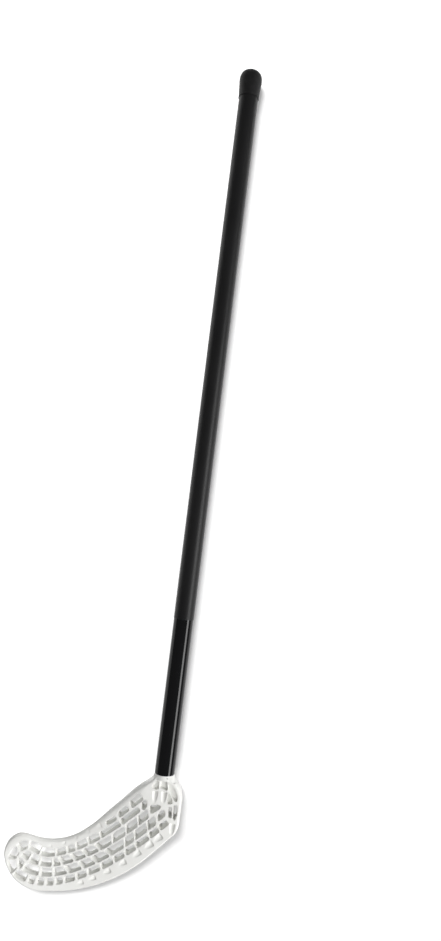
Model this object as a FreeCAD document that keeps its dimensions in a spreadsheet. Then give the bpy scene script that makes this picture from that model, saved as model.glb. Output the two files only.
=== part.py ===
"""Floorball stick: a composite tube with a moulded lattice blade, two skins, an end cap and a screw.

Each sub-part is modelled with z = 0 at the tube's lower end, +Z up the shaft, the blade's toe towards -X
and its hollow face towards -Y. The placements then move the origin up to the point where a hand holds it.
"""
import FreeCAD, Part
import math
import os
import Sketcher

Vector = FreeCAD.Vector

# Driving sizes in millimetres and degrees
SIZES = {
    # Lengths along the shaft
    "stick_length": 960,
    "tube_length": 947,
    "film_length": 200,
    "hold_height": 820,
    # Tube and its two skins
    "tube_diameter": 26,
    "tube_wall": 1.6,
    "film_gauge": 0.25,
    "film_inset": 0.8,
    "sleeve_gauge": 0.35,
    "skin_gap": 0.3,
    # End cap
    "cap_length": 39,
    "cap_rim_diameter": 28.2,
    "cap_swell_diameter": 31.4,
    "cap_land_diameter": 13,
    "plug_length": 32,
    "plug_bore": 15,
    "plug_rib_count": 8,
    "plug_rib_height": 0.7,
    "plug_rib_width": 1.6,
    "fit_gap": 0.1,
    # Hosel that the tube slides over
    "hosel_length": 62,
    "hosel_flute_depth": 5.2,
    "hosel_flute_width": 7,
    "hosel_flute_floor": 14,
    "collar_diameter": 25.2,
    "collar_height": 6,
    "collar_taper": 18,
    "shoulder_inset": 0.5,
    "shoulder_height": 8,
    "shoulder_diameter": 35.2,
    # Fixing screw
    "screw_height": 7.5,
    "screw_diameter": 2.9,
    "screw_reach": 7,
    "screw_head_diameter": 5.4,
    "screw_head_height": 1.7,
    "screw_head_lip": 0.7,
    "screw_crown_diameter": 3,
    # Blade body
    "blade_depth": 90,
    "blade_lean": 0.045,
    "rim_bevel": 1.6,
    "neck_web": 13,
    "rib_width": 2.7,
    "window_clip": 1.0,
}

# Bands that make up the rounded crown of the end cap
CROWN_BANDS = 6

# Corners of the blade's outline from the collar round the toe to the heel: x, z, radius of the corner
OUTLINE = {
    "collar_left": (-12.6, 0, 0),
    "throat": (-12.9, -6.5, 4),
    "shoulder": (-25.5, -16.5, 25),
    "inner_bend": (-101.6, -106, 86),
    "toe_top": (-193, -85.4, 18),
    "toe_low": (-174.5, -155.6, 52),
    "sole": (-58, -155.6, 170),
    "heel_low": (26.5, -68.1, 20),
    "heel_high": (26.8, -20.5, 28),
    "nape": (12.7, -3.2, 3),
    "collar_right": (12.6, 0, 0),
}

# Sections across the blade: x, bow of its middle towards the hollow face, half thickness at neck and at sole
SECTIONS = {
    "heel": (32, 0, 10.7, 7.2),
    "neck": (-15, 0, 10.6, 7.2),
    "waist": (-65, -1.2, 8.0, 6.6),
    "belly": (-110, -5.5, 6.3, 6.0),
    "bow": (-152, -12.5, 5.6, 5.6),
    "toe": (-196, -23, 5.0, 5.0),
}

# Heights that shape the sides of every section, from above the collar to below the sole
SECTION_HEIGHTS = (6, -62, -100, -165)

# Line along the middle of the rib lattice, from the neck to the centre of the toe: x, z
LATTICE_LINE = ((2, -41), (-60, -96.5), (-100, -118.5), (-130, -126), (-158.5, -119.4))

# Cross ribs of each lattice row, as distances along that line, and of the fan round the toe, in degrees
UPPER_RING_RIBS = (22, 53.5, 86, 104.5, 122, 135, 151.5, 178)
FAN_RIBS = (31, 72, 115, 166)
LOWER_RING_RIBS = (179, 171, 162.5, 153.5, 144.5, 131, 117.5, 101, 84.5, 69, 53.5, 33.5, 17.5, 3)
UPPER_ROW_RIBS = (16, 34, 53, 74, 96, 114, 130, 146.5, 156.5, 174, 188.5)
LOWER_ROW_RIBS = (13.5, 28, 48, 63, 87.5, 106, 123, 140.5, 155.5, 170, 189.5)
RIM_ROW_WINDOWS = ((11, 29), (34.5, 50), (55, 70))

# Rows across the lattice: distance from the middle line and height of the openings
RING_OFFSET = 17.4
RING_HEIGHT_AT_NECK = 6.0
RING_HEIGHT_AT_TOE = 8.6
ROW_OFFSET = 6.1
ROW_HEIGHT = 9.1
RIM_ROW_INNER = 23.6
RIM_ROW_OUTER_AT_NECK = 33.2
RIM_ROW_NARROWING = 0.115

# Angles above which a corner isn't clipped or is left out, and the most that a clip takes of its shorter side
FLAT_CORNER = math.radians(150)
STRAIGHT_CORNER = math.radians(174)
LARGEST_CLIP = 0.4

# Lean of the cross ribs: distance along the line per distance across it, near the neck, waist and toe
RIB_LEAN = ((85, -0.5), (150, 0.55), (400, 0.15))

# Blind pockets on both faces of the neck, and openings below them and beside the heel, as corners x, z
NECK_POCKETS = (
    ((-7.6, -6.2), (-5.6, -8.5), (-5.2, -17.2), (-9.5, -17.6), (-14, -14.8)),
    ((-3.6, -6), (4.8, -6.2), (6.3, -17.4), (1.6, -15.8), (-3.2, -14.6)),
    ((7.6, -9.6), (11, -10), (17.2, -17.6), (20.4, -24.3), (20.2, -30), (16.4, -28.2), (9.2, -17.4)),
    ((8.3, -20.8), (13.2, -27.4), (15, -33), (8.6, -33.6)),
)
NECK_WINDOWS = (
    ((-23.6, -36.2), (-20.4, -33), (-18.2, -33.8), (-17, -39.6), (-20, -44.8), (-23.2, -44)),
    ((-13.4, -40.8), (-11, -38.4), (-6.3, -37), (-1, -37.2), (0.8, -38.6), (-1.5, -41.5), (-8, -46.8),
     (-11.4, -47.8)),
    ((4.3, -42), (7.2, -44.8), (6.8, -49), (3.5, -53.3), (-0.3, -56.2), (-1.4, -51.5), (0.4, -45.6)),
)
HEEL_CELLS = (
    ((11.6, -37.8), (14.8, -37.6), (15.8, -50.6), (12, -49.8)),
    ((17.8, -35), (21.4, -35), (22.2, -46), (20.6, -53), (18.4, -52)),
)

# Scoops in the front face, each deep at one end and running out at the other: radius, depth and length
SOLE_SCOOP = (4.4, 2.8, 13)
TOP_SCOOP = (2.2, 1.6, 8)
NECK_FLUTE = (3.0, 3.4, 14)

# How far the tool that cuts a scoop runs on past its shallow end
SCOOP_OVERRUN = 1.15

# How much smaller the scoops get from the neck to the toe
SCOOP_SHRINK = 0.55

# Deep ends of the scoops: distance along and across the lattice's line, and of the flutes in the neck: x, z
SOLE_SCOOP_ROW = ((20, 34, 52, 72, 92, 110, 124), -26.3)
TOP_SCOOP_ROW = ((77, 96, 116, 134, 158), 24.6)
NECK_FLUTES = ((-8.3, -20.5), (3.2, -20), (18.6, -58))

doc = FreeCAD.newDocument("floorball_stick")
sheet = doc.addObject("Spreadsheet::Sheet", "Sizes")


def fill_sheet():
    """Writes every driving size into the sheet as a plain number with an alias."""
    cells = dict(SIZES)
    for name, (x, z, radius) in OUTLINE.items():
        cells[name + "_x"] = x
        cells[name + "_z"] = z
        cells[name + "_radius"] = radius
    for name, (x, bow, neck_half, sole_half) in SECTIONS.items():
        cells[name + "_station"] = x
        cells[name + "_bow"] = bow
        cells[name + "_neck_half"] = neck_half
        cells[name + "_sole_half"] = sole_half
    for row, (name, value) in enumerate(cells.items(), 1):
        sheet.set(f"A{row}", name)
        sheet.set(f"B{row}", str(value))
        sheet.setAlias(f"B{row}", name)
    doc.recompute()


def size(name):
    """Value of one cell of the sheet."""
    return float(getattr(sheet, name))


def bind(thing, prop, formula):
    """Ties a property to the sheet. Names of cells in the formula follow a dollar sign."""
    thing.setExpression(prop, formula.replace("$", "Sizes."))


def new_body(label):
    """A sub-part, placed so that the origin is where the hand holds the shaft."""
    body = doc.addObject("PartDesign::Body", label)
    body.Label = label
    bind(body, "Placement.Base.z", "-$hold_height")
    return body


def new_sketch(body, name, role, offset=None):
    """A sketch on one of the body's own origin planes, moved along the plane's normal by a formula."""
    sketch = body.newObject("Sketcher::SketchObject", name)
    plane = next(item for item in body.Origin.OriginFeatures if item.Role == role)
    sketch.AttachmentSupport = [(plane, "")]
    sketch.MapMode = "FlatFace"
    if offset:
        bind(sketch, "AttachmentOffset.Base.z", offset)
    return sketch


def add_circle(sketch, name, diameter, centre=None):
    """A circle whose diameter, and centre height if given, follow formulas."""
    circle = Part.Circle(Vector(0, 0, 0), Vector(0, 0, 1), 1)
    index = sketch.addGeometry(circle, False)
    rule = sketch.addConstraint(Sketcher.Constraint("Diameter", index, 2))
    sketch.renameConstraint(rule, name)
    bind(sketch, "Constraints." + name, diameter)
    if centre is None:
        sketch.addConstraint(Sketcher.Constraint("Coincident", index, 3, -1, 1))
        return
    sketch.addConstraint(Sketcher.Constraint("PointOnObject", index, 3, -2))
    rule = sketch.addConstraint(Sketcher.Constraint("DistanceY", -1, 1, index, 3, 1))
    sketch.renameConstraint(rule, name + "_height")
    bind(sketch, f"Constraints.{name}_height", centre)


def add_bound_polygon(sketch, corners):
    """A closed polygon whose corners follow formulas: name, (x, z) to start from, x formula, z formula."""
    points = [Vector(*start, 0) for _, start, _, _ in corners]
    for start, end in zip(points, points[1:] + points[:1]):
        sketch.addGeometry(Part.LineSegment(start, end), False)
    count = len(points)
    for index in range(count):
        sketch.addConstraint(Sketcher.Constraint("Coincident", index, 2, (index + 1) % count, 1))
    for index, (name, start, *formulas) in enumerate(corners):
        for kind, value, formula in zip(("DistanceX", "DistanceY"), start, formulas):
            rule = sketch.addConstraint(Sketcher.Constraint(kind, -1, 1, index, 1, value))
            sketch.renameConstraint(rule, f"{name}_{kind}")
            bind(sketch, f"Constraints.{name}_{kind}", formula)


def add_clipped_polygon(sketch, corners, clip):
    """A closed polygon with each real corner clipped off, less where the sides are short."""
    points = [Vector(x, z, 0) for x, z in corners]
    clipped = []
    for index, corner in enumerate(points):
        before = points[index - 1] - corner
        after = points[(index + 1) % len(points)] - corner
        angle = before.getAngle(after)
        if angle > FLAT_CORNER:
            if angle < STRAIGHT_CORNER:
                clipped.append(corner)
            continue
        run = min(clip, LARGEST_CLIP * min(before.Length, after.Length))
        clipped.append(corner + before.normalize() * run)
        clipped.append(corner + after.normalize() * run)
    for start, end in zip(clipped, clipped[1:] + clipped[:1]):
        sketch.addGeometry(Part.LineSegment(start, end), False)


def add_feature(body, kind, name, sketch, **settings):
    """A sketch-based feature of the body. A text setting is a formula, the rest are plain values."""
    feature = body.newObject("PartDesign::" + kind, name)
    feature.Profile = sketch
    for prop, value in settings.items():
        if isinstance(value, str) and value.startswith("="):
            bind(feature, prop, value[1:])
        else:
            setattr(feature, prop, value)
    doc.recompute()
    return feature


def cut(body, name, sketch, **settings):
    """A pocket that has to take something away."""
    before = body.Shape.Volume
    pocket = add_feature(body, "Pocket", name, sketch, **settings)
    if body.Shape.Volume >= before - 1e-6:
        raise RuntimeError(f"{name} cuts nothing: {pocket.getStatusString()}")
    return pocket


def polar(body, name, original, count):
    """Copies of a feature round the body's Z axis."""
    pattern = body.newObject("PartDesign::PolarPattern", name)
    pattern.Originals = [original]
    axis = next(item for item in body.Origin.OriginFeatures if item.Role == "Z_Axis")
    pattern.Axis = (axis, [""])
    pattern.Angle = 360
    if isinstance(count, str):
        bind(pattern, "Occurrences", count)
    else:
        pattern.Occurrences = count
    body.Tip = pattern
    doc.recompute()
    return pattern


def add_screw_hole(body, diameter):
    """A hole from the back for the fixing screw."""
    hole = new_sketch(body, body.Label + "_hole_section", "XZ_Plane")
    add_circle(hole, "hole", diameter, "$screw_height")
    cut(body, body.Label + "_hole", hole, Type="Length", Length="=$tube_diameter")


def build_tube():
    """The composite shaft tube."""
    body = new_body("shaft_tube")
    ring = new_sketch(body, "tube_ring", "XY_Plane")
    add_circle(ring, "outer", "$tube_diameter")
    add_circle(ring, "inner", "$tube_diameter - 2 * $tube_wall")
    add_feature(body, "Pad", "tube_wall", ring, Length="=$tube_length")
    add_screw_hole(body, "$screw_diameter + 2 * $fit_gap")
    return body


def build_skin(label, gauge, start, length, drilled):
    """A thin skin round a stretch of the tube."""
    body = new_body(label)
    ring = new_sketch(body, label + "_ring", "XY_Plane", start)
    add_circle(ring, "outer", "$tube_diameter + 2 * " + gauge)
    add_circle(ring, "inner", "$tube_diameter")
    add_feature(body, "Pad", label + "_wall", ring, Length="=" + length)
    if drilled:
        add_screw_hole(body, "$screw_diameter + 2 * $fit_gap")
    return body


def build_cap():
    """The end cap: a swelling shell over the grip with a ribbed plug inside the tube."""
    body = new_body("end_cap")
    profile = new_sketch(body, "cap_profile", "XZ_Plane")
    top = size("stick_length")
    rim = top - size("cap_length")
    tube_top = size("tube_length")
    plug_low = tube_top - size("plug_length")
    plug_radius = size("tube_diameter") / 2 - size("tube_wall") - size("fit_gap") - size("plug_rib_height")
    skirt_bore = size("tube_diameter") / 2 + size("sleeve_gauge") + size("fit_gap")
    rim_radius = size("cap_rim_diameter") / 2
    swell_radius = size("cap_swell_diameter") / 2
    land_radius = size("cap_land_diameter") / 2
    swell = top - math.sqrt(swell_radius ** 2 - land_radius ** 2)
    bore_radius = size("plug_bore") / 2
    bore_top = tube_top + (top - tube_top) / 4
    crown_turn = math.acos(land_radius / swell_radius)
    turns = [crown_turn * step / CROWN_BANDS for step in range(CROWN_BANDS)]
    crown = [(swell_radius * math.cos(turn), swell + swell_radius * math.sin(turn)) for turn in turns]
    outline = crown + [
        (land_radius, top),
        (0, top),
        (0, bore_top),
        (bore_radius, bore_top),
        (bore_radius, plug_low),
        (plug_radius, plug_low),
        (plug_radius, tube_top),
        (skirt_bore, tube_top),
        (skirt_bore, rim),
        (rim_radius, rim),
    ]
    for start, end in zip(outline, outline[1:] + outline[:1]):
        profile.addGeometry(Part.LineSegment(Vector(*start, 0), Vector(*end, 0)), False)
    axis = next(item for item in body.Origin.OriginFeatures if item.Role == "Z_Axis")
    add_feature(body, "Revolution", "cap_shell", profile, ReferenceAxis=(axis, [""]), Angle=360)
    rib = new_sketch(body, "plug_rib_section", "XY_Plane", "$tube_length - $plug_length")
    half_width = size("plug_rib_width") / 2
    rib_tip = plug_radius + size("plug_rib_height")
    corners = [(plug_radius - 1, -half_width), (rib_tip, -half_width), (rib_tip, half_width),
               (plug_radius - 1, half_width)]
    names = ("root_low", "tip_low", "tip_high", "root_high")
    root = "$tube_diameter / 2 - $tube_wall - $fit_gap - $plug_rib_height - 1"
    tip = "$tube_diameter / 2 - $tube_wall - $fit_gap"
    sides = ("-$plug_rib_width / 2", "-$plug_rib_width / 2", "$plug_rib_width / 2", "$plug_rib_width / 2")
    add_bound_polygon(rib, list(zip(names, corners, (root, tip, tip, root), sides)))
    first = add_feature(body, "Pad", "plug_rib", rib, Length="=$plug_length")
    polar(body, "plug_ribs", first, "$plug_rib_count")
    return body


def build_screw():
    """The self-tapping screw through the tube's wall into the hosel."""
    body = new_body("blade_screw")
    profile = new_sketch(body, "screw_profile", "YZ_Plane")
    seat = size("tube_diameter") / 2 + size("film_gauge")
    height = size("screw_height")
    shank = size("screw_diameter") / 2
    head = size("screw_head_diameter") / 2
    tip = seat - size("screw_reach")
    crown = seat + size("screw_head_height")
    point = tip - shank
    lip = seat + size("screw_head_lip")
    outline = [
        (point, height),
        (tip, height + shank),
        (seat, height + shank),
        (seat, height + head),
        (lip, height + head),
        (crown, height + size("screw_crown_diameter") / 2),
        (crown, height),
    ]
    for start, end in zip(outline, outline[1:] + outline[:1]):
        profile.addGeometry(Part.LineSegment(Vector(*start, 0), Vector(*end, 0)), False)
    add_feature(body, "Revolution", "screw", profile, ReferenceAxis=(profile, ["Edge7"]), Angle=360)
    return body


def section_side(name, side):
    """Front (-1) or back (+1) side of a blade section, from the neck down to the sole."""
    bow = size(name + "_bow")
    neck_half = size(name + "_neck_half")
    sole_half = size(name + "_sole_half")
    halves = (neck_half, neck_half, sole_half, sole_half)
    lean = size("blade_lean")
    return [Vector(bow + lean * min(z, 0) + side * half, z, 0) for z, half in zip(SECTION_HEIGHTS, halves)]


def build_blade_core():
    """The bowed, leaning slab between the blade's front and back faces, lofted through its sections."""
    body = doc.addObject("PartDesign::Body", "blade_core")
    sketches = []
    for name in SECTIONS:
        sketch = new_sketch(body, name + "_section", "YZ_Plane", f"${name}_station")
        front = section_side(name, -1)
        back = section_side(name, 1)
        for poles in (front, back[::-1]):
            side = Part.BSplineCurve()
            side.buildFromPoles(poles)
            sketch.addGeometry(side, False)
        sketch.addGeometry(Part.LineSegment(front[-1], back[-1]), False)
        sketch.addGeometry(Part.LineSegment(back[0], front[0]), False)
        sketches.append(sketch)
    doc.recompute()
    loft = body.newObject("PartDesign::AdditiveLoft", "bowed_slab")
    loft.Profile = sketches[0]
    loft.Sections = sketches[1:]
    doc.recompute()
    return body


def corner_edge(shape, x, z):
    """Name of the edge across the blade's depth at one corner of its outline."""
    for index, edge in enumerate(shape.Edges, 1):
        points = [vertex.Point for vertex in edge.Vertexes]
        if all(abs(point.x - x) < 0.01 and abs(point.z - z) < 0.01 for point in points):
            return f"Edge{index}"
    raise RuntimeError(f"no outline corner at {x}, {z}")


class Lattice:
    """Points in the blade's face, by distance along the lattice's middle line and across it."""

    def __init__(self):
        self.line = Part.BSplineCurve()
        self.line.interpolate([Vector(x, z, 0) for x, z in LATTICE_LINE])
        self.length = self.line.length()

    def place(self, along):
        """Point, direction and normal of the line, which runs straight on before its start."""
        inside = min(max(along, 0), self.length)
        at = self.line.parameterAtDistance(inside, self.line.FirstParameter)
        direction = self.line.tangent(at)[0]
        normal = Vector(direction.y, -direction.x, 0)
        return self.line.value(at) + direction * (along - inside), direction, normal

    def point(self, along, across):
        """Point beside the line. Past its end the ring turns round the toe, by an angle for each distance."""
        if along <= self.length:
            start, _, normal = self.place(along)
            return start + normal * across
        centre, direction, normal = self.place(self.length)
        turn = (along - self.length) / RING_OFFSET
        if turn <= math.pi:
            return centre + (normal * math.cos(turn) + direction * math.sin(turn)) * across
        return self.point(2 * self.length + math.pi * RING_OFFSET - along, -across)

    def fan(self, degrees):
        """Distance along the ring of an angle round the toe."""
        return self.length + math.radians(degrees) * RING_OFFSET

    def far_side(self, along):
        """Distance along the ring of a place on its lower side."""
        return 2 * self.length + math.pi * RING_OFFSET - along


def rib_lean(along):
    """Lean of a cross rib at a distance along the lattice."""
    return next(lean for limit, lean in RIB_LEAN if along < limit)


def flat(point):
    """A point of the blade's face as x, z."""
    return (point.x, point.y)


def ring_windows(lattice):
    """Openings of the ring that runs along the top, round the toe and back along the sole."""
    ribs = list(UPPER_RING_RIBS)
    ribs += [lattice.fan(angle) for angle in FAN_RIBS]
    ribs += [lattice.far_side(along) for along in LOWER_RING_RIBS]
    half_rib = size("rib_width") / 2
    windows = []
    for start, end in zip(ribs, ribs[1:]):
        start += half_rib
        end -= half_rib
        middle = (start + end) / 2
        reach = min(middle, lattice.far_side(middle), lattice.length) / lattice.length
        half = (RING_HEIGHT_AT_NECK + (RING_HEIGHT_AT_TOE - RING_HEIGHT_AT_NECK) * reach ** 2) / 2
        stops = (start, middle, end)
        outer = [flat(lattice.point(stop, RING_OFFSET + half)) for stop in stops]
        inner = [flat(lattice.point(stop, RING_OFFSET - half)) for stop in stops[::-1]]
        windows.append(outer + inner)
    return windows


def row_windows(lattice, ribs, offset):
    """Openings of one inner row, between leaning cross ribs. The last one is rounded off at the toe."""
    half_rib = size("rib_width") / 2
    half = ROW_HEIGHT / 2
    windows = []
    for start, end in zip(ribs, ribs[1:]):
        shifts = [rib_lean(edge) * half for edge in (start, end)]
        spans = []
        for across, sign in ((offset + half, 1), (offset - half, -1)):
            spans.append((start + half_rib + sign * shifts[0], end - half_rib + sign * shifts[1], across))
        (high_start, high_end, high), (low_start, low_end, low) = spans
        windows.append([
            flat(lattice.point(high_start, high)),
            flat(lattice.point((high_start + high_end) / 2, high)),
            flat(lattice.point(high_end, high)),
            flat(lattice.point(low_end, low)),
            flat(lattice.point((low_start + low_end) / 2, low)),
            flat(lattice.point(low_start, low)),
        ])
    return windows


def toe_windows(lattice):
    """The two rounded openings inside the ring's fan, either side of the middle rib."""
    half_rib = size("rib_width") / 2
    outer = ROW_OFFSET + ROW_HEIGHT / 2
    inner = ROW_OFFSET - ROW_HEIGHT / 2
    centre, direction, normal = lattice.place(lattice.length)
    windows = []
    for side, last_rib in ((1, UPPER_ROW_RIBS[-1]), (-1, LOWER_ROW_RIBS[-1])):
        corners = []
        for across in (inner, outer):
            shift = rib_lean(last_rib) * side * (across - ROW_OFFSET)
            begin, _, way = lattice.place(last_rib + half_rib + shift)
            corners.append(begin + way * side * across)
        corners.append(centre + (normal * side * 0.75 + direction * 0.6) * outer)
        corners.append(centre + direction * outer * 0.9 + normal * side * inner)
        windows.append([flat(corner) for corner in corners])
    return windows


def rim_windows(lattice):
    """Open slots in the row under the upper rim."""
    windows = []
    for start, end in RIM_ROW_WINDOWS:
        windows.append([
            flat(lattice.point(start, RIM_ROW_OUTER_AT_NECK - RIM_ROW_NARROWING * start)),
            flat(lattice.point(end, RIM_ROW_OUTER_AT_NECK - RIM_ROW_NARROWING * end)),
            flat(lattice.point(end, RIM_ROW_INNER)),
            flat(lattice.point(start, RIM_ROW_INNER)),
        ])
    return windows


def add_scoops(body, lattice):
    """Scoops beside the lattice that run out towards the toe, and flutes that run out down the neck."""
    scoops = []
    for (places, across), sizes in ((SOLE_SCOOP_ROW, SOLE_SCOOP), (TOP_SCOOP_ROW, TOP_SCOOP)):
        for along in places:
            _, direction, _ = lattice.place(along)
            scale = 1 - SCOOP_SHRINK * along / lattice.length
            smaller = [value * scale for value in sizes]
            scoops.append((flat(lattice.point(along, across)), flat(direction), smaller))
    scoops += [(place, (0, -1), NECK_FLUTE) for place in NECK_FLUTES]
    whole = body.Tip.Shape
    for number, ((x, z), (run_x, run_z), (radius, depth, length)) in enumerate(scoops, 1):
        deep = Vector(x, front_depth(whole, x, z) + depth - radius, z)
        x += run_x * length
        z += run_z * length
        axis = Vector(x, front_depth(whole, x, z) - radius, z) - deep
        scoop = body.newObject("PartDesign::SubtractiveCylinder", f"scoop_{number}")
        scoop.Radius = radius
        scoop.Height = axis.Length * SCOOP_OVERRUN
        scoop.Placement = FreeCAD.Placement(deep, FreeCAD.Rotation(Vector(0, 0, 1), axis))
        doc.recompute()


def front_depth(shape, x, z):
    """How far forward the blade's front face stands at one place."""
    half = size("blade_depth") / 2
    ray = Part.makeLine(Vector(x, -half, z), Vector(x, half, z))
    return min(vertex.Point.y for vertex in ray.common(shape).Vertexes)


def bevel_rim(body, shaped):
    """Bevels the edges of the front and back faces, all but the straight ones at the collar."""
    names = []
    for index, edge in enumerate(shaped.Shape.Edges, 1):
        middle = edge.valueAt((edge.FirstParameter + edge.LastParameter) / 2)
        ends = [vertex.Point for vertex in edge.Vertexes]
        across = all(abs(end.x - middle.x) < 0.01 and abs(end.z - middle.z) < 0.01 for end in ends)
        at_collar = abs(middle.z) < 0.01
        if not across and not at_collar:
            names.append(f"Edge{index}")
    bevel = body.newObject("PartDesign::Chamfer", "rim_bevel")
    bevel.Base = (shaped, names)
    bind(bevel, "Size", "$rim_bevel")
    doc.recompute()


def add_hosel(body):
    """A round collar under the tube's end and the fluted hosel inside the tube, drilled for the screw."""
    shoulder = new_sketch(body, "shoulder_profile", "XZ_Plane")
    inner = size("collar_diameter") / 2 - size("shoulder_inset")
    outer = size("blade_depth")
    top = size("collar_height")
    low = -size("shoulder_height")
    turned_away = [
        ("inner_top", (inner, top), "$collar_diameter / 2 - $shoulder_inset", "$collar_height"),
        ("inner", (inner, 0), "$collar_diameter / 2 - $shoulder_inset", "0"),
        ("low", (size("shoulder_diameter") / 2, low), "$shoulder_diameter / 2", "-$shoulder_height"),
        ("outer_low", (outer, low), "$blade_depth", "-$shoulder_height"),
        ("outer_top", (outer, top), "$blade_depth", "$collar_height"),
    ]
    add_bound_polygon(shoulder, turned_away)
    axis = next(item for item in body.Origin.OriginFeatures if item.Role == "Z_Axis")
    add_feature(body, "Groove", "round_shoulder", shoulder, ReferenceAxis=(axis, [""]), Angle=360)
    collar = new_sketch(body, "collar_ring", "XY_Plane")
    add_circle(collar, "collar", "$collar_diameter")
    add_feature(body, "Pad", "collar", collar, Length="=$collar_height", Reversed=True,
                TaperAngle="=$collar_taper")
    stem = new_sketch(body, "hosel_section", "XY_Plane")
    add_circle(stem, "hosel", "$tube_diameter - 2 * $tube_wall - 2 * $fit_gap")
    add_feature(body, "Pad", "hosel", stem, Length="=$hosel_length")
    radius = size("tube_diameter") / 2 - size("tube_wall")
    flute = new_sketch(body, "hosel_flute_section", "XY_Plane", "$hosel_length")
    half = size("hosel_flute_width") / 2
    floor = radius - size("hosel_flute_depth")
    diagonal = FreeCAD.Rotation(Vector(0, 0, 1), 45)
    corners = ((floor, -half), (radius + 2, -half), (radius + 2, half), (floor, half))
    turned = [diagonal.multVec(Vector(x, y, 0)) for x, y in corners]
    add_clipped_polygon(flute, [(point.x, point.y) for point in turned], half / 2)
    first = cut(body, "hosel_flute", flute, Type="Length", Length="=$hosel_length - $hosel_flute_floor")
    polar(body, "hosel_flutes", first, 4)
    add_screw_hole(body, "$screw_diameter")


def cut_windows(body, lattice):
    """Cuts every opening of the lattice straight through the blade."""
    openings = new_sketch(body, "lattice_openings", "XZ_Plane")
    windows = ring_windows(lattice) + toe_windows(lattice) + rim_windows(lattice)
    windows += NECK_WINDOWS + HEEL_CELLS
    windows += row_windows(lattice, UPPER_ROW_RIBS, ROW_OFFSET)
    windows += row_windows(lattice, LOWER_ROW_RIBS, -ROW_OFFSET)
    for window in windows:
        add_clipped_polygon(openings, window, size("window_clip"))
    cut(body, "lattice", openings, SideType="Symmetric", Type="Length", Length="=$blade_depth")


def cut_neck_pockets(body):
    """Blind pockets from both faces of the neck down to a thin web in its middle."""
    for face, offset, reverse in (("front", "$blade_depth / 2", False), ("back", "-$blade_depth / 2", True)):
        pockets = new_sketch(body, face + "_neck_section", "XZ_Plane", offset)
        for pocket in NECK_POCKETS:
            add_clipped_polygon(pockets, pocket, size("window_clip"))
        depth = "=($blade_depth - $neck_web) / 2"
        cut(body, face + "_neck_pockets", pockets, Type="Length", Length=depth, Reversed=reverse)


def build_blade():
    """The moulded blade: bowed outline, rib lattice, neck pockets, collar and hosel."""
    core = build_blade_core()
    body = new_body("blade")
    outline = new_sketch(body, "blade_outline", "XZ_Plane")
    corners = [(name, (x, z), f"${name}_x", f"${name}_z") for name, (x, z, _) in OUTLINE.items()]
    add_bound_polygon(outline, corners)
    feature = add_feature(body, "Pad", "outline_block", outline, SideType="Symmetric", Length="=$blade_depth")
    for name, (x, z, radius) in OUTLINE.items():
        if radius:
            corner = corner_edge(feature.Shape, x, z)
            rounded = body.newObject("PartDesign::Fillet", name + "_round")
            rounded.Base = (feature, [corner])
            bind(rounded, "Radius", f"${name}_radius")
            doc.recompute()
            feature = rounded
    shaped = body.newObject("PartDesign::Boolean", "bowed_outline")
    shaped.Type = "Common"
    shaped.setObjects([core])
    doc.recompute()
    bevel_rim(body, shaped)
    add_hosel(body)
    cut_neck_pockets(body)
    lattice = Lattice()
    add_scoops(body, lattice)
    cut_windows(body, lattice)
    return body


fill_sheet()
subparts = [
    build_tube(),
    build_skin("graphic_film", "$film_gauge", "$film_inset", "$film_length - $film_inset", True),
    build_skin("grip_sleeve", "$sleeve_gauge", "$film_length + $skin_gap",
               "$tube_length - $film_length - $skin_gap", False),
    build_cap(),
    build_screw(),
    build_blade(),
]
doc.recompute()

for thing in doc.Objects:
    if "Invalid" in thing.State or "Error" in thing.State:
        raise RuntimeError(thing.Label + " failed: " + str(thing.State))
os.makedirs("parts", exist_ok=True)
for part in subparts:
    if part.Shape.isNull() or not part.Shape.isValid():
        raise RuntimeError(part.Label + " has no valid shape")
    part.Shape.exportStep(f"parts/{part.Label}.step")
    print(part.Label, len(part.Shape.Solids), round(part.Shape.Volume), part.Shape.BoundBox)
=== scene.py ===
import math

import bmesh
import bpy
import numpy as np
from mathutils import Matrix, Vector
from mathutils.bvhtree import BVHTree


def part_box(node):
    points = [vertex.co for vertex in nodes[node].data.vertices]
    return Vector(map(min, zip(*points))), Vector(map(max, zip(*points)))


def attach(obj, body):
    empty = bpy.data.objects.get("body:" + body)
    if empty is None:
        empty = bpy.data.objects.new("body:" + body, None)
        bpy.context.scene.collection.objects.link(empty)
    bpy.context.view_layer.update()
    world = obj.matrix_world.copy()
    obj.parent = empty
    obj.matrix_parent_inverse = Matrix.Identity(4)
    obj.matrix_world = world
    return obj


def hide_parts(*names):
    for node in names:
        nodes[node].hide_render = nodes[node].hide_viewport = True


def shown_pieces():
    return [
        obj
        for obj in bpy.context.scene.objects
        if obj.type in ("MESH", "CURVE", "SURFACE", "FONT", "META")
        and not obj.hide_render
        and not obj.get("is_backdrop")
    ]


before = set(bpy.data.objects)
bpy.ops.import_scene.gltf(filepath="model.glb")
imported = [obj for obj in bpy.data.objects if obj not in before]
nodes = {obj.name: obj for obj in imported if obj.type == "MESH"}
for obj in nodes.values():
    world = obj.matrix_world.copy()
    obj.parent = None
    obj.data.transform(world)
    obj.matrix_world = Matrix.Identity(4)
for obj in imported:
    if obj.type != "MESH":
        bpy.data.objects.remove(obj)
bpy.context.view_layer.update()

# A floorball stick lying on a white floor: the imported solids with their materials, and finer meshes in place
# of the blade, the end cap and the screw. Sizes of the stick are in millimetres, the rest is in metres.
MM = 0.001

# Height of the origin, where a hand holds the stick, above the tube's lower end
HOLD = 820

scene = bpy.context.scene


# Material helpers

# Range that holds most values of a noise texture
NOISE_LOW = 0.3
NOISE_HIGH = 0.7


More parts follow.
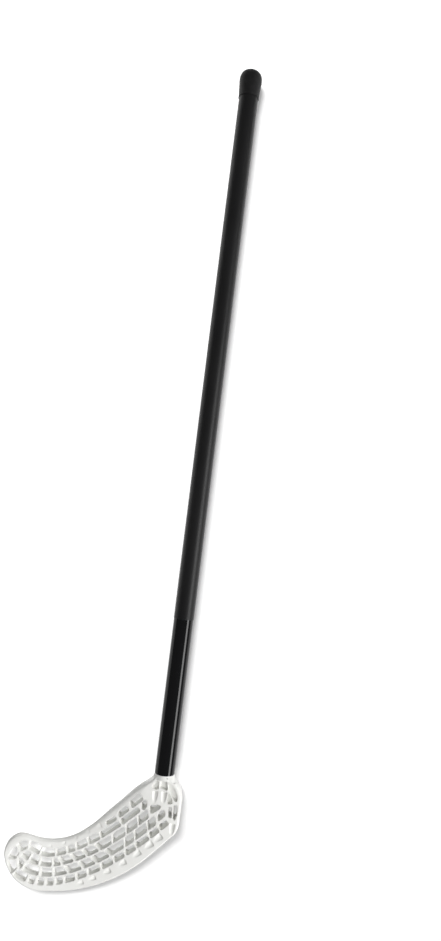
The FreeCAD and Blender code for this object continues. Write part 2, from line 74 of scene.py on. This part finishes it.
def new_material(name, **values):
    """A Principled material with plain values on its own sockets, with its node tree and shader."""
    material = bpy.data.materials.new(name)
    material.use_nodes = True
    shader = material.node_tree.nodes["Principled BSDF"]
    for socket, value in values.items():
        shader.inputs[socket.replace("_", " ")].default_value = value
    return material, material.node_tree, shader


def add_node(tree, kind, **settings):
    """A shader node with values for its sockets or its own settings."""
    node = tree.nodes.new("ShaderNode" + kind)
    for name, value in settings.items():
        if name in node.inputs.keys():
            node.inputs[name].default_value = value
        else:
            setattr(node, name, value)
    return node


def object_place(tree):
    """The place on the object in its own coordinates."""
    return add_node(tree, "TexCoord").outputs["Object"]


def noise(tree, scale, detail, stretch=None):
    """Noise in the object's own coordinates, stretched along the axes where asked."""
    place = object_place(tree)
    if stretch:
        mapping = add_node(tree, "Mapping", Scale=stretch)
        tree.links.new(place, mapping.inputs["Vector"])
        place = mapping.outputs["Vector"]
    texture = add_node(tree, "TexNoise", Scale=scale, Detail=detail)
    tree.links.new(place, texture.inputs["Vector"])
    return texture.outputs["Fac"]


def colour(tree, shader, source, low, high, start=NOISE_LOW, end=NOISE_HIGH):
    """Base colour that a texture leads from one colour to another."""
    node = add_node(tree, "ValToRGB")
    first, last = node.color_ramp.elements
    first.position = start
    first.color = (*low, 1)
    last.position = end
    last.color = (*high, 1)
    tree.links.new(source, node.inputs["Fac"])
    tree.links.new(node.outputs["Color"], shader.inputs["Base Color"])


def roughness(tree, shader, source, low, high):
    """Roughness that a texture leads from one value to another."""
    node = add_node(tree, "MapRange")
    node.inputs["From Min"].default_value = NOISE_LOW
    node.inputs["From Max"].default_value = NOISE_HIGH
    node.inputs["To Min"].default_value = low
    node.inputs["To Max"].default_value = high
    tree.links.new(source, node.inputs["Value"])
    tree.links.new(node.outputs["Result"], shader.inputs["Roughness"])


def bump(tree, shader, source, distance, strength, below=None):
    """Bump from a texture, on top of another bump if there is one."""
    node = add_node(tree, "Bump", Distance=distance, Strength=strength)
    tree.links.new(source, node.inputs["Height"])
    if below:
        tree.links.new(below, node.inputs["Normal"])
    tree.links.new(node.outputs["Normal"], shader.inputs["Normal"])
    return node.outputs["Normal"]


# Materials

def blade_material():
    """Warm white moulded polymer with a satin skin."""
    material, tree, shader = new_material("moulded_white", Specular_IOR_Level=0.3)
    tone = noise(tree, scale=55, detail=4)
    colour(tree, shader, tone, low=(0.83, 0.83, 0.80), high=(0.87, 0.87, 0.845))
    roughness(tree, shader, noise(tree, scale=420, detail=2), low=0.40, high=0.52)
    flow = noise(tree, scale=90, detail=2)
    flow_bump = bump(tree, shader, flow, distance=0.4 * MM, strength=0.12)
    grain = noise(tree, scale=2600, detail=2)
    bump(tree, shader, grain, distance=0.06 * MM, strength=0.25, below=flow_bump)
    return material


def film_material():
    """Bare glossy black film under clear lacquer."""
    material, tree, shader = new_material("glossy_film", Specular_IOR_Level=0.32)
    tone = noise(tree, scale=40, detail=3, stretch=(1, 1, 0.2))
    colour(tree, shader, tone, low=(0.0020, 0.0021, 0.0025), high=(0.0036, 0.0036, 0.0042))
    roughness(tree, shader, noise(tree, scale=130, detail=4), low=0.08, high=0.13)
    flow = noise(tree, scale=70, detail=2, stretch=(1, 1, 0.35))
    bump(tree, shader, flow, distance=0.3 * MM, strength=0.06)
    return material


def sleeve_material():
    """Matte black grip sleeve with a fine pebbled skin."""
    material, tree, shader = new_material("matte_sleeve", Specular_IOR_Level=0.3)
    tone = noise(tree, scale=60, detail=4, stretch=(1, 1, 0.25))
    colour(tree, shader, tone, low=(0.0070, 0.0070, 0.0074), high=(0.0105, 0.0105, 0.0110))
    roughness(tree, shader, noise(tree, scale=500, detail=3), low=0.37, high=0.47)
    flow = noise(tree, scale=45, detail=2, stretch=(1, 1, 0.3))
    flow_bump = bump(tree, shader, flow, distance=0.4 * MM, strength=0.10)
    pebbles = add_node(tree, "TexVoronoi", Scale=1500)
    tree.links.new(object_place(tree), pebbles.inputs["Vector"])
    bump(tree, shader, pebbles.outputs["Distance"], distance=0.08 * MM, strength=0.35, below=flow_bump)
    return material


def cap_material():
    """Matte black moulded rubber with an uneven, slightly dusty tone."""
    material, tree, shader = new_material("matte_rubber", Specular_IOR_Level=0.3)
    tone = noise(tree, scale=130, detail=4)
    colour(tree, shader, tone, low=(0.0060, 0.0060, 0.0064), high=(0.0125, 0.0125, 0.0130))
    roughness(tree, shader, noise(tree, scale=700, detail=3), low=0.50, high=0.64)
    bump(tree, shader, noise(tree, scale=1900, detail=3), distance=0.08 * MM, strength=0.4)
    return material


def tube_material():
    """Dark blue-black fibre composite with a wound grain."""
    material, tree, shader = new_material("composite_tube", Specular_IOR_Level=0.5, Coat_Weight=0.4)
    grain = add_node(tree, "TexWave", Scale=260, Distortion=3.0)
    tree.links.new(object_place(tree), grain.inputs["Vector"])
    dark = (0.004, 0.007, 0.014)
    light = (0.009, 0.014, 0.026)
    colour(tree, shader, grain.outputs["Fac"], low=dark, high=light, start=0.2, end=0.8)
    roughness(tree, shader, noise(tree, scale=300, detail=2), low=0.2, high=0.32)
    return material


def steel_material():
    """Black coated steel, worn a little."""
    material, tree, shader = new_material("coated_steel", Metallic=0.85)
    tone = noise(tree, scale=1400, detail=4)
    colour(tree, shader, tone, low=(0.035, 0.035, 0.038), high=(0.11, 0.11, 0.115))
    roughness(tree, shader, noise(tree, scale=900, detail=2), low=0.28, high=0.42)
    return material


def mark_material():
    """A dull dark grey, much darker than the blade around it, for the small dot on the collar's front."""
    material, tree, shader = new_material("gate_polymer", Specular_IOR_Level=0.3)
    tone = noise(tree, scale=1800, detail=3)
    colour(tree, shader, tone, low=(0.05, 0.05, 0.05), high=(0.11, 0.11, 0.105))
    roughness(tree, shader, noise(tree, scale=2500, detail=2), low=0.55, high=0.7)
    return material


# Mesh helpers

# Most of a profile's side that the rounding of one corner takes
LARGEST_CUT = 0.45


def dress(node_name, material):
    """Gives a CAD node a new material."""
    mesh = nodes[node_name].data
    mesh.materials.clear()
    mesh.materials.append(material)


def add_piece(name, mesh, material, slot, *replaced):
    """A new piece of the stick with its material, in place of CAD nodes if any are named."""
    piece = bpy.data.objects.new(name, mesh)
    scene.collection.objects.link(piece)
    mesh.materials.clear()
    mesh.materials.append(material)
    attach(piece, "root")
    if replaced:
        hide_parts(*replaced)
    return piece


def add_ring(made, radius, height, segments, lobes=0, lobe_height=0.0):
    """A ring of points round the Z axis, with lobes where asked, or a single point on the axis."""
    if radius == 0:
        return [made.verts.new((0, 0, height * MM))]
    ring = []
    for step in range(segments):
        angle = 2 * math.pi * step / segments
        reach = radius * (1 + lobe_height * math.cos(lobes * angle)) * MM
        ring.append(made.verts.new((reach * math.cos(angle), reach * math.sin(angle), height * MM)))
    return ring


def join_rings(made, rings, segments):
    """Faces between each ring and the next."""
    for lower, upper in zip(rings, rings[1:]):
        for step in range(segments):
            after = (step + 1) % segments
            corners = [lower[step % len(lower)], lower[after % len(lower)],
                       upper[after % len(upper)], upper[step % len(upper)]]
            made.faces.new(list(dict.fromkeys(corners)))


def finished_mesh(name, made, place):
    """A smooth mesh from the points and faces made, moved to its place."""
    bmesh.ops.recalc_face_normals(made, faces=made.faces)
    made.transform(place)
    mesh = bpy.data.meshes.new(name)
    made.to_mesh(mesh)
    made.free()
    mesh.shade_smooth()
    return mesh


def turned(name, profile, segments, place):
    """A closed turned form from a profile of radius and height that starts and ends on the axis."""
    made = bmesh.new()
    rings = [add_ring(made, radius, height, segments) for radius, height in profile]
    join_rings(made, rings, segments)
    return finished_mesh(name, made, place)


def rounded(points, radius, steps=4):
    """A profile with its inner corners rounded off."""
    out = [points[0]]
    for before, corner, after in zip(points, points[1:], points[2:]):
        corner = Vector(corner)
        back = Vector(before) - corner
        ahead = Vector(after) - corner
        run = min(radius, LARGEST_CUT * back.length, LARGEST_CUT * ahead.length)
        start = corner + back.normalized() * run
        end = corner + ahead.normalized() * run
        for step in range(steps + 1):
            t = step / steps
            out.append(tuple(start * (1 - t) ** 2 + corner * 2 * t * (1 - t) + end * t ** 2))
    out.append(points[-1])
    return out


def settle(piece):
    """Puts the result of a piece's modifiers in a mesh of its own and drops them."""
    seen = piece.evaluated_get(bpy.context.evaluated_depsgraph_get())
    mesh = bpy.data.meshes.new_from_object(seen)
    piece.modifiers.clear()
    piece.data = mesh
    return mesh


def ease(share):
    """A smooth step from 0 to 1."""
    share = np.clip(share, 0, 1)
    return share ** 2 * (3 - 2 * share)


# Blade, with x from the toe to the heel, y to the back and z up from the tube's lower end

# Sections across its solid, from toe to heel: places along x, half thickness at the neck and at the sole
SECTION_PLACES = (-196, -152, -110, -65, -15, 32)
NECK_HALVES = (5.0, 5.6, 6.3, 8.0, 10.6, 10.7)
SOLE_HALVES = (5.0, 5.6, 6.0, 6.6, 7.2, 7.2)

# Top of the sections and their height
SECTION_TOP = 6
SECTION_HEIGHT = 171

# Bow of the middle surface towards the front, from its start to the toe, and its lean for each step down
BOW_START = -15
BOW_LENGTH = 181
BOW_AT_TOE = 23
BOW_POWER = 2.15
LEAN = 0.045

WELD_GAP = 0.002
VOXEL = 0.45
SMOOTHING = 0.5
SMOOTHING_ROUNDS = 5
BLADE_TRIANGLES = 190000

# Draft of the ribs: what a side gains at the middle surface and loses from there to the face, at depth 1
DRAFT_GAIN = 0.45
DRAFT_LOSS = 1.3
DRAFT_POWER = 1.5
LARGEST_DEPTH = 1.2

# The draft starts below the collar
DRAFT_TOP = -9
DRAFT_FADE = 6

# How far the upper rim lies outside the solid's: all along it, and more in the inner bend and before the toe
RIM_GAIN = 2.7
BEND_GAIN = 3.9
BEND_PLACE = -74
BEND_WIDTH = 29
TOE_GAIN = 1.2
TOE_PLACE = -172
TOE_WIDTH = 20

# Where that rim starts beside the neck and ends at the toe, and over what lengths it fades there
RIM_START = -20
RIM_START_FADE = 14
RIM_END = -194
RIM_END_FADE = 24

# How far inside the edge the blade moves out with it, and how much further towards the toe
RIM_REACH = 8
TOE_REACH = 22
TOE_REACH_START = -120
TOE_REACH_FADE = 50

# How much of its thickness the blade loses at that edge, and over what width
ROLL = 0.4
ROLL_WIDTH = 9

# Columns, 1 mm wide, on each side of one that the height of the edge is averaged over
EDGE_SPREAD = 3


def blade_middle(x, z):
    """Where the middle surface of the bowed and leaning blade lies, and half the blade's thickness there."""
    bow = -BOW_AT_TOE * (np.clip(BOW_START - x, 0, None) / BOW_LENGTH) ** BOW_POWER
    middle = bow + LEAN * np.minimum(z, 0)
    down = ease((SECTION_TOP - z) / SECTION_HEIGHT)
    neck_half = np.interp(x, SECTION_PLACES, NECK_HALVES)
    sole_half = np.interp(x, SECTION_PLACES, SOLE_HALVES)
    return middle, neck_half * (1 - down) + sole_half * down


def upper_edge(x, z):
    """How far inside the blade's upper edge each place lies, and the edge's slope there."""
    column = (x - x.min()).astype(int)
    top = np.full(column.max() + 1, -np.inf)
    np.maximum.at(top, column, z)
    window = 2 * EDGE_SPREAD + 1
    top = np.convolve(np.pad(top, EDGE_SPREAD, "edge"), np.full(window, 1 / window), "valid")
    middles = x.min() + 0.5 + np.arange(len(top))
    slope = np.interp(x, middles, np.gradient(top))
    return (np.interp(x, middles, top) - z) / np.hypot(1, slope), slope


def rim_gain(x):
    """How far the upper rim moves out at each place along the blade."""
    bend = BEND_GAIN * np.exp(-((x - BEND_PLACE) / BEND_WIDTH) ** 2)
    toe = TOE_GAIN * np.exp(-((x - TOE_PLACE) / TOE_WIDTH) ** 2)
    at_neck = ease((RIM_START - x) / RIM_START_FADE)
    at_toe = ease((x - RIM_END) / RIM_END_FADE)
    return (RIM_GAIN + bend + toe) * at_neck * at_toe


def shape_blade(mesh):
    """Narrows the ribs towards the faces, moves the upper rim out and rolls the faces over towards it."""
    places = np.empty(len(mesh.vertices) * 3)
    normals = np.empty(len(mesh.vertices) * 3)
    mesh.vertices.foreach_get("co", places)
    mesh.vertices.foreach_get("normal", normals)
    places = places.reshape(-1, 3)
    sideways = normals.reshape(-1, 3) * (1, 0, 1)
    x, y, z = (places / MM).T
    z = z + HOLD
    middle, half = blade_middle(x, z)
    inside, slope = upper_edge(x, z)

    roll = ROLL * np.clip(1 - inside / ROLL_WIDTH, 0, 1) ** 2 * ease((RIM_START - x) / RIM_START_FADE)
    places[:, 1] -= (y - middle) * roll * MM

    reach = RIM_REACH + TOE_REACH * ease((TOE_REACH_START - x) / TOE_REACH_FADE)
    shift = rim_gain(x) * ease(1 - inside / reach) / np.hypot(1, slope) * MM
    places[:, 0] -= slope * shift
    places[:, 2] += shift

    depth = np.clip(np.abs(y - middle) / half, 0, LARGEST_DEPTH)
    below_collar = np.clip((DRAFT_TOP - z) / DRAFT_FADE, 0, 1)
    draft = (DRAFT_GAIN - DRAFT_LOSS * depth ** DRAFT_POWER) * below_collar * MM
    places += sideways * draft[:, None]
    mesh.vertices.foreach_set("co", places.ravel())


def build_blade():
    """The moulded blade: the CAD solid with drafted ribs, a wider upper rim and softened edges."""
    piece = add_piece("blade_moulding", nodes["blade"].data.copy(), blade_material(), "blade", "blade")
    weld = piece.modifiers.new("weld", "WELD")
    weld.merge_threshold = WELD_GAP * MM
    skin = piece.modifiers.new("skin", "REMESH")
    skin.mode = "VOXEL"
    skin.voxel_size = VOXEL * MM
    mesh = settle(piece)
    shape_blade(mesh)
    soften = piece.modifiers.new("soften", "SMOOTH")
    soften.factor = SMOOTHING
    soften.iterations = SMOOTHING_ROUNDS
    thin = piece.modifiers.new("thin", "DECIMATE")
    thin.ratio = min(1, BLADE_TRIANGLES / (2 * len(mesh.polygons)))
    settle(piece).shade_smooth()


# Gate mark on the front of the collar: its place and its profile of radius and height, with a sunk middle
MARK_X = 4.9
MARK_DROP = 2.6
MARK_PROFILE = [(0, -0.5), (0.85, -0.5), (0.85, 0.14), (0.6, 0.2), (0.5, -0.15), (0, -0.15)]
MARK_ROUNDING = 0.12
MARK_SEGMENTS = 32

# How far in front of the stick the search for the collar's face starts
MARK_SEARCH = 40


def build_gate_mark():
    """The small cratered nub that the mould's gate leaves on the front of the collar."""
    solid = nodes["blade"].data
    corners = [vertex.co for vertex in solid.vertices]
    faces = [face.vertices for face in solid.polygons]
    skin = BVHTree.FromPolygons(corners, faces)
    start = Vector((MARK_X, -MARK_SEARCH, -HOLD - MARK_DROP)) * MM
    foot, outward, _, _ = skin.ray_cast(start, Vector((0, 1, 0)))
    place = Matrix.Translation(foot) @ outward.to_track_quat("Z", "Y").to_matrix().to_4x4()
    mesh = turned("gate_mark", rounded(MARK_PROFILE, MARK_ROUNDING), MARK_SEGMENTS, place)
    add_piece("gate_mark", mesh, mark_material(), "blade")


# End cap, with heights from its top: its open end and the floor of its bore
CAP_RIM = -39
CAP_BORE = 13.45
CAP_FLOOR = -12.9

# Rolled lip: its profile above the open end
LIP_PROFILE = [(14.1, 0), (14.25, 1.6), (14.02, 2.2), (14.2, 2.8)]
LIP_ROUNDING = 0.4

# Flank, which flares from the lip up to the widest ring
FLANK_RADIUS = 14.22
FLANK_FOOT = 3.4
FLANK_POWER = 1.15
FLANK_RINGS = 12
CAP_RADIUS = 15.7
CAP_BELT = -14.3

# Crown between the widest ring and the flat end. A bluntness of 2 would make it round.
CROWN_BLUNTNESS = 2.8
CROWN_RINGS = 24
LAND_RADIUS = 6.5

# Shallow ring on the flat end: its profile from the land's edge to the axis
END_PROFILE = [(LAND_RADIUS + 0.35, -0.12), (LAND_RADIUS - 0.5, 0), (4.6, 0), (4.3, -0.5), (3.4, -0.5),
               (3.1, 0), (0, 0)]
END_ROUNDING = 0.25
CAP_SEGMENTS = 96


def build_cap():
    """The end cap: a rolled lip, a flared flank, a blunt crown and a shallow ring on its end."""
    profile = [(0, CAP_FLOOR), (CAP_BORE, CAP_FLOOR), (CAP_BORE, CAP_RIM)]
    profile += [(radius, CAP_RIM + height) for radius, height in LIP_PROFILE]
    profile = rounded(profile, LIP_ROUNDING)
    flank_low = CAP_RIM + FLANK_FOOT
    for step in range(FLANK_RINGS):
        t = step / (FLANK_RINGS - 1)
        radius = FLANK_RADIUS + (CAP_RADIUS - FLANK_RADIUS) * t ** FLANK_POWER
        profile.append((radius, flank_low + (CAP_BELT - flank_low) * t))
    power = 2 / CROWN_BLUNTNESS
    turn = math.acos((LAND_RADIUS / CAP_RADIUS) ** (1 / power))
    crown = -CAP_BELT / math.sin(turn) ** power
    for step in range(1, CROWN_RINGS + 1):
        angle = turn * step / (CROWN_RINGS + 1)
        profile.append((CAP_RADIUS * math.cos(angle) ** power, CAP_BELT + crown * math.sin(angle) ** power))
    profile += rounded(END_PROFILE, END_ROUNDING)
    _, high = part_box("end_cap")
    place = Matrix.Translation((0, 0, high.z))
    mesh = turned("cap_shell", profile, CAP_SEGMENTS, place)
    add_piece("cap_shell", mesh, cap_material(), "cap", "end_cap")


# Screw, with heights from the shaft's axis: its shank and head, rounded, and the lobed recess in its crown
SEAT = 13.25
SCREW_CROWN = SEAT + 1.7
SCREW_PROFILE = [(1.4, SEAT - 8), (1.4, SEAT), (2.7, SEAT), (2.7, SEAT + 0.7), (1.9, SCREW_CROWN),
                 (1.6, SCREW_CROWN)]
SCREW_ROUNDING = 0.5
SCREW_ROUNDING_STEPS = 5
SCREW_SEGMENTS = 48
RECESS_RADIUS = 1.25
RECESS_LOBES = 6
RECESS_LOBE_HEIGHT = 0.12
RECESS_WALL = [(RECESS_RADIUS, SCREW_CROWN - 0.02), (RECESS_RADIUS * 0.96, SCREW_CROWN - 0.9)]
RECESS_FLOOR = (RECESS_RADIUS * 0.3, SCREW_CROWN - 1.0)


def build_screw():
    """The screw's head with a six-lobed recess, on its shank."""
    made = bmesh.new()
    body = rounded(SCREW_PROFILE, SCREW_ROUNDING, SCREW_ROUNDING_STEPS)
    rings = [add_ring(made, radius, height, SCREW_SEGMENTS) for radius, height in body]
    for radius, height in RECESS_WALL:
        rings.append(add_ring(made, radius, height, SCREW_SEGMENTS, RECESS_LOBES, RECESS_LOBE_HEIGHT))
    rings.append(add_ring(made, *RECESS_FLOOR, SCREW_SEGMENTS))
    join_rings(made, rings, SCREW_SEGMENTS)
    made.faces.new(rings[-1])
    made.faces.new(rings[0][::-1])
    low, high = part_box("blade_screw")
    height = (low.z + high.z) / 2
    place = Matrix.Translation((0, 0, height)) @ Matrix.Rotation(-math.pi / 2, 4, "X")
    mesh = finished_mesh("screw_head", made, place)
    add_piece("screw_head", mesh, steel_material(), "screw", "blade_screw")


# Stage: the floor, the lamps, the world and the camera, in metres

# Floor just behind the stick, which comes a little forward towards the blade's toe
FLOOR_REACH = 6.0
FLOOR_BEHIND = 0.0168
FLOOR_SLOPE_X = 0.10
FLOOR_SLOPE_Z = 0.0032
FLOOR_GREY = 0.9

# Light that the floor adds where the camera, a reflection or a refraction sees it
FLOOR_LIFT = 0.28

WORLD_STRENGTH = 0.2

# Camera: its place, its tilt up and turn about its axis, and its focal length and frame's height in pixels
CAMERA_PLACE = (0.0244, -0.9451, -0.4831)
CAMERA_TILT = math.radians(3.9)
CAMERA_TURN = math.radians(7.01)
FOCAL_PIXELS = 705
FRAME_PIXELS = 941

# The sensor's longer side in millimetres
SENSOR = 36


def floor_material():
    """White paper that is clear from behind and looks a little brighter than it is lit."""
    material = bpy.data.materials.new("floor_paper")
    material.use_nodes = True
    tree = material.node_tree
    tree.nodes.clear()
    paper = add_node(tree, "BsdfDiffuse", Color=(FLOOR_GREY, FLOOR_GREY, FLOOR_GREY, 1))
    path = add_node(tree, "LightPath")
    mirrored = add_node(tree, "Math", operation="MAXIMUM")
    tree.links.new(path.outputs["Is Glossy Ray"], mirrored.inputs[0])
    tree.links.new(path.outputs["Is Transmission Ray"], mirrored.inputs[1])
    seen = add_node(tree, "Math", operation="MAXIMUM")
    tree.links.new(path.outputs["Is Camera Ray"], seen.inputs[0])
    tree.links.new(mirrored.outputs["Value"], seen.inputs[1])
    share = add_node(tree, "Math", operation="MULTIPLY")
    share.inputs[1].default_value = FLOOR_LIFT
    tree.links.new(seen.outputs["Value"], share.inputs[0])
    lift = add_node(tree, "Emission")
    tree.links.new(share.outputs["Value"], lift.inputs["Strength"])
    front = add_node(tree, "AddShader")
    tree.links.new(paper.outputs["BSDF"], front.inputs[0])
    tree.links.new(lift.outputs["Emission"], front.inputs[1])
    back = add_node(tree, "BsdfTransparent")
    mix = add_node(tree, "MixShader")
    tree.links.new(add_node(tree, "NewGeometry").outputs["Backfacing"], mix.inputs["Fac"])
    tree.links.new(front.outputs["Shader"], mix.inputs[1])
    tree.links.new(back.outputs["BSDF"], mix.inputs[2])
    out = add_node(tree, "OutputMaterial")
    tree.links.new(mix.outputs["Shader"], out.inputs["Surface"])
    return material


def build_floor():
    """A white floor that the stick lies on."""
    corners = []
    for x, z in ((-1, -1), (1, -1), (1, 1), (-1, 1)):
        x *= FLOOR_REACH
        z *= FLOOR_REACH
        corners.append((x, FLOOR_BEHIND + FLOOR_SLOPE_X * x + FLOOR_SLOPE_Z * z, z))
    mesh = bpy.data.meshes.new("floor")
    mesh.from_pydata(corners, [], [(0, 1, 2, 3)])
    mesh.materials.append(floor_material())
    ground = bpy.data.objects.new("floor", mesh)
    scene.collection.objects.link(ground)
    ground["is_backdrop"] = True
    return ground


def group(name, objects):
    """A collection that only says what a lamp reaches."""
    made = bpy.data.collections.new(name)
    for thing in objects:
        made.objects.link(thing)
    return made


def add_lamp(name, place, aim, width, height, power, receivers, blockers):
    """A soft rectangular lamp aimed at a point, with its height along Z, that lights only its receivers."""
    data = bpy.data.lights.new(name, "AREA")
    data.shape = "RECTANGLE"
    data.size = width
    data.size_y = height
    data.energy = power
    lamp = bpy.data.objects.new(name, data)
    lamp.location = place
    lamp.rotation_mode = "QUATERNION"
    lamp.rotation_quaternion = (Vector(aim) - Vector(place)).to_track_quat("-Z", "Y")
    scene.collection.objects.link(lamp)
    lamp.light_linking.receiver_collection = receivers
    lamp.light_linking.blocker_collection = blockers
    return lamp


def build_lamps(ground):
    """Soft light on the stick from the right, the front and behind, and a lamp of its own for the floor."""
    stick = group("stick_lit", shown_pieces())
    sheet = group("floor_lit", [ground])
    add_lamp("key_strip", place=(2.1, -1.32, -1.0), aim=(0, 0, -0.85), width=0.85, height=2.6, power=49,
             receivers=stick, blockers=stick)
    front = add_lamp("front_fill", place=(0.75, -2.0, -1.15), aim=(0, 0, -0.85), width=1.1, height=1.0,
                     power=21, receivers=stick, blockers=stick)
    front.visible_glossy = False
    add_lamp("floor_light", place=(-0.95, -3.6, 1.38), aim=(0.1, 0, -0.7), width=1.65, height=0.9, power=172,
             receivers=sheet, blockers=stick)
    add_lamp("back_fill", place=(-0.8, 2.0, -1.3), aim=(0, 0, -0.7), width=1.6, height=2.0, power=12,
             receivers=stick, blockers=stick)


def build_world():
    """Even grey light all round."""
    world = bpy.data.worlds.new("studio")
    scene.world = world
    world.use_nodes = True
    even = world.node_tree.nodes["Background"]
    even.inputs["Color"].default_value = (1, 1, 1, 1)
    even.inputs["Strength"].default_value = WORLD_STRENGTH


def build_camera():
    """The photograph's viewpoint: near the stick's middle, tilted a little up and turned on its axis."""
    data = bpy.data.cameras.new("camera")
    data.sensor_width = SENSOR
    data.lens = SENSOR * FOCAL_PIXELS / FRAME_PIXELS
    camera = bpy.data.objects.new("camera", data)
    forward = Vector((0, math.cos(CAMERA_TILT), math.sin(CAMERA_TILT)))
    level = Vector((1, 0, 0))
    upright = level.cross(forward)
    right = level * math.cos(CAMERA_TURN) + upright * math.sin(CAMERA_TURN)
    up = upright * math.cos(CAMERA_TURN) - level * math.sin(CAMERA_TURN)
    facing = Matrix((right, up, -forward)).transposed().to_4x4()
    camera.matrix_world = Matrix.Translation(CAMERA_PLACE) @ facing
    scene.collection.objects.link(camera)
    scene.camera = camera


dress("shaft_tube", tube_material())
dress("graphic_film", film_material())
dress("grip_sleeve", sleeve_material())
build_blade()
build_gate_mark()
build_cap()
build_screw()

ground = build_floor()
build_world()
build_camera()
build_lamps(ground)
scene.view_settings.view_transform = "Standard"
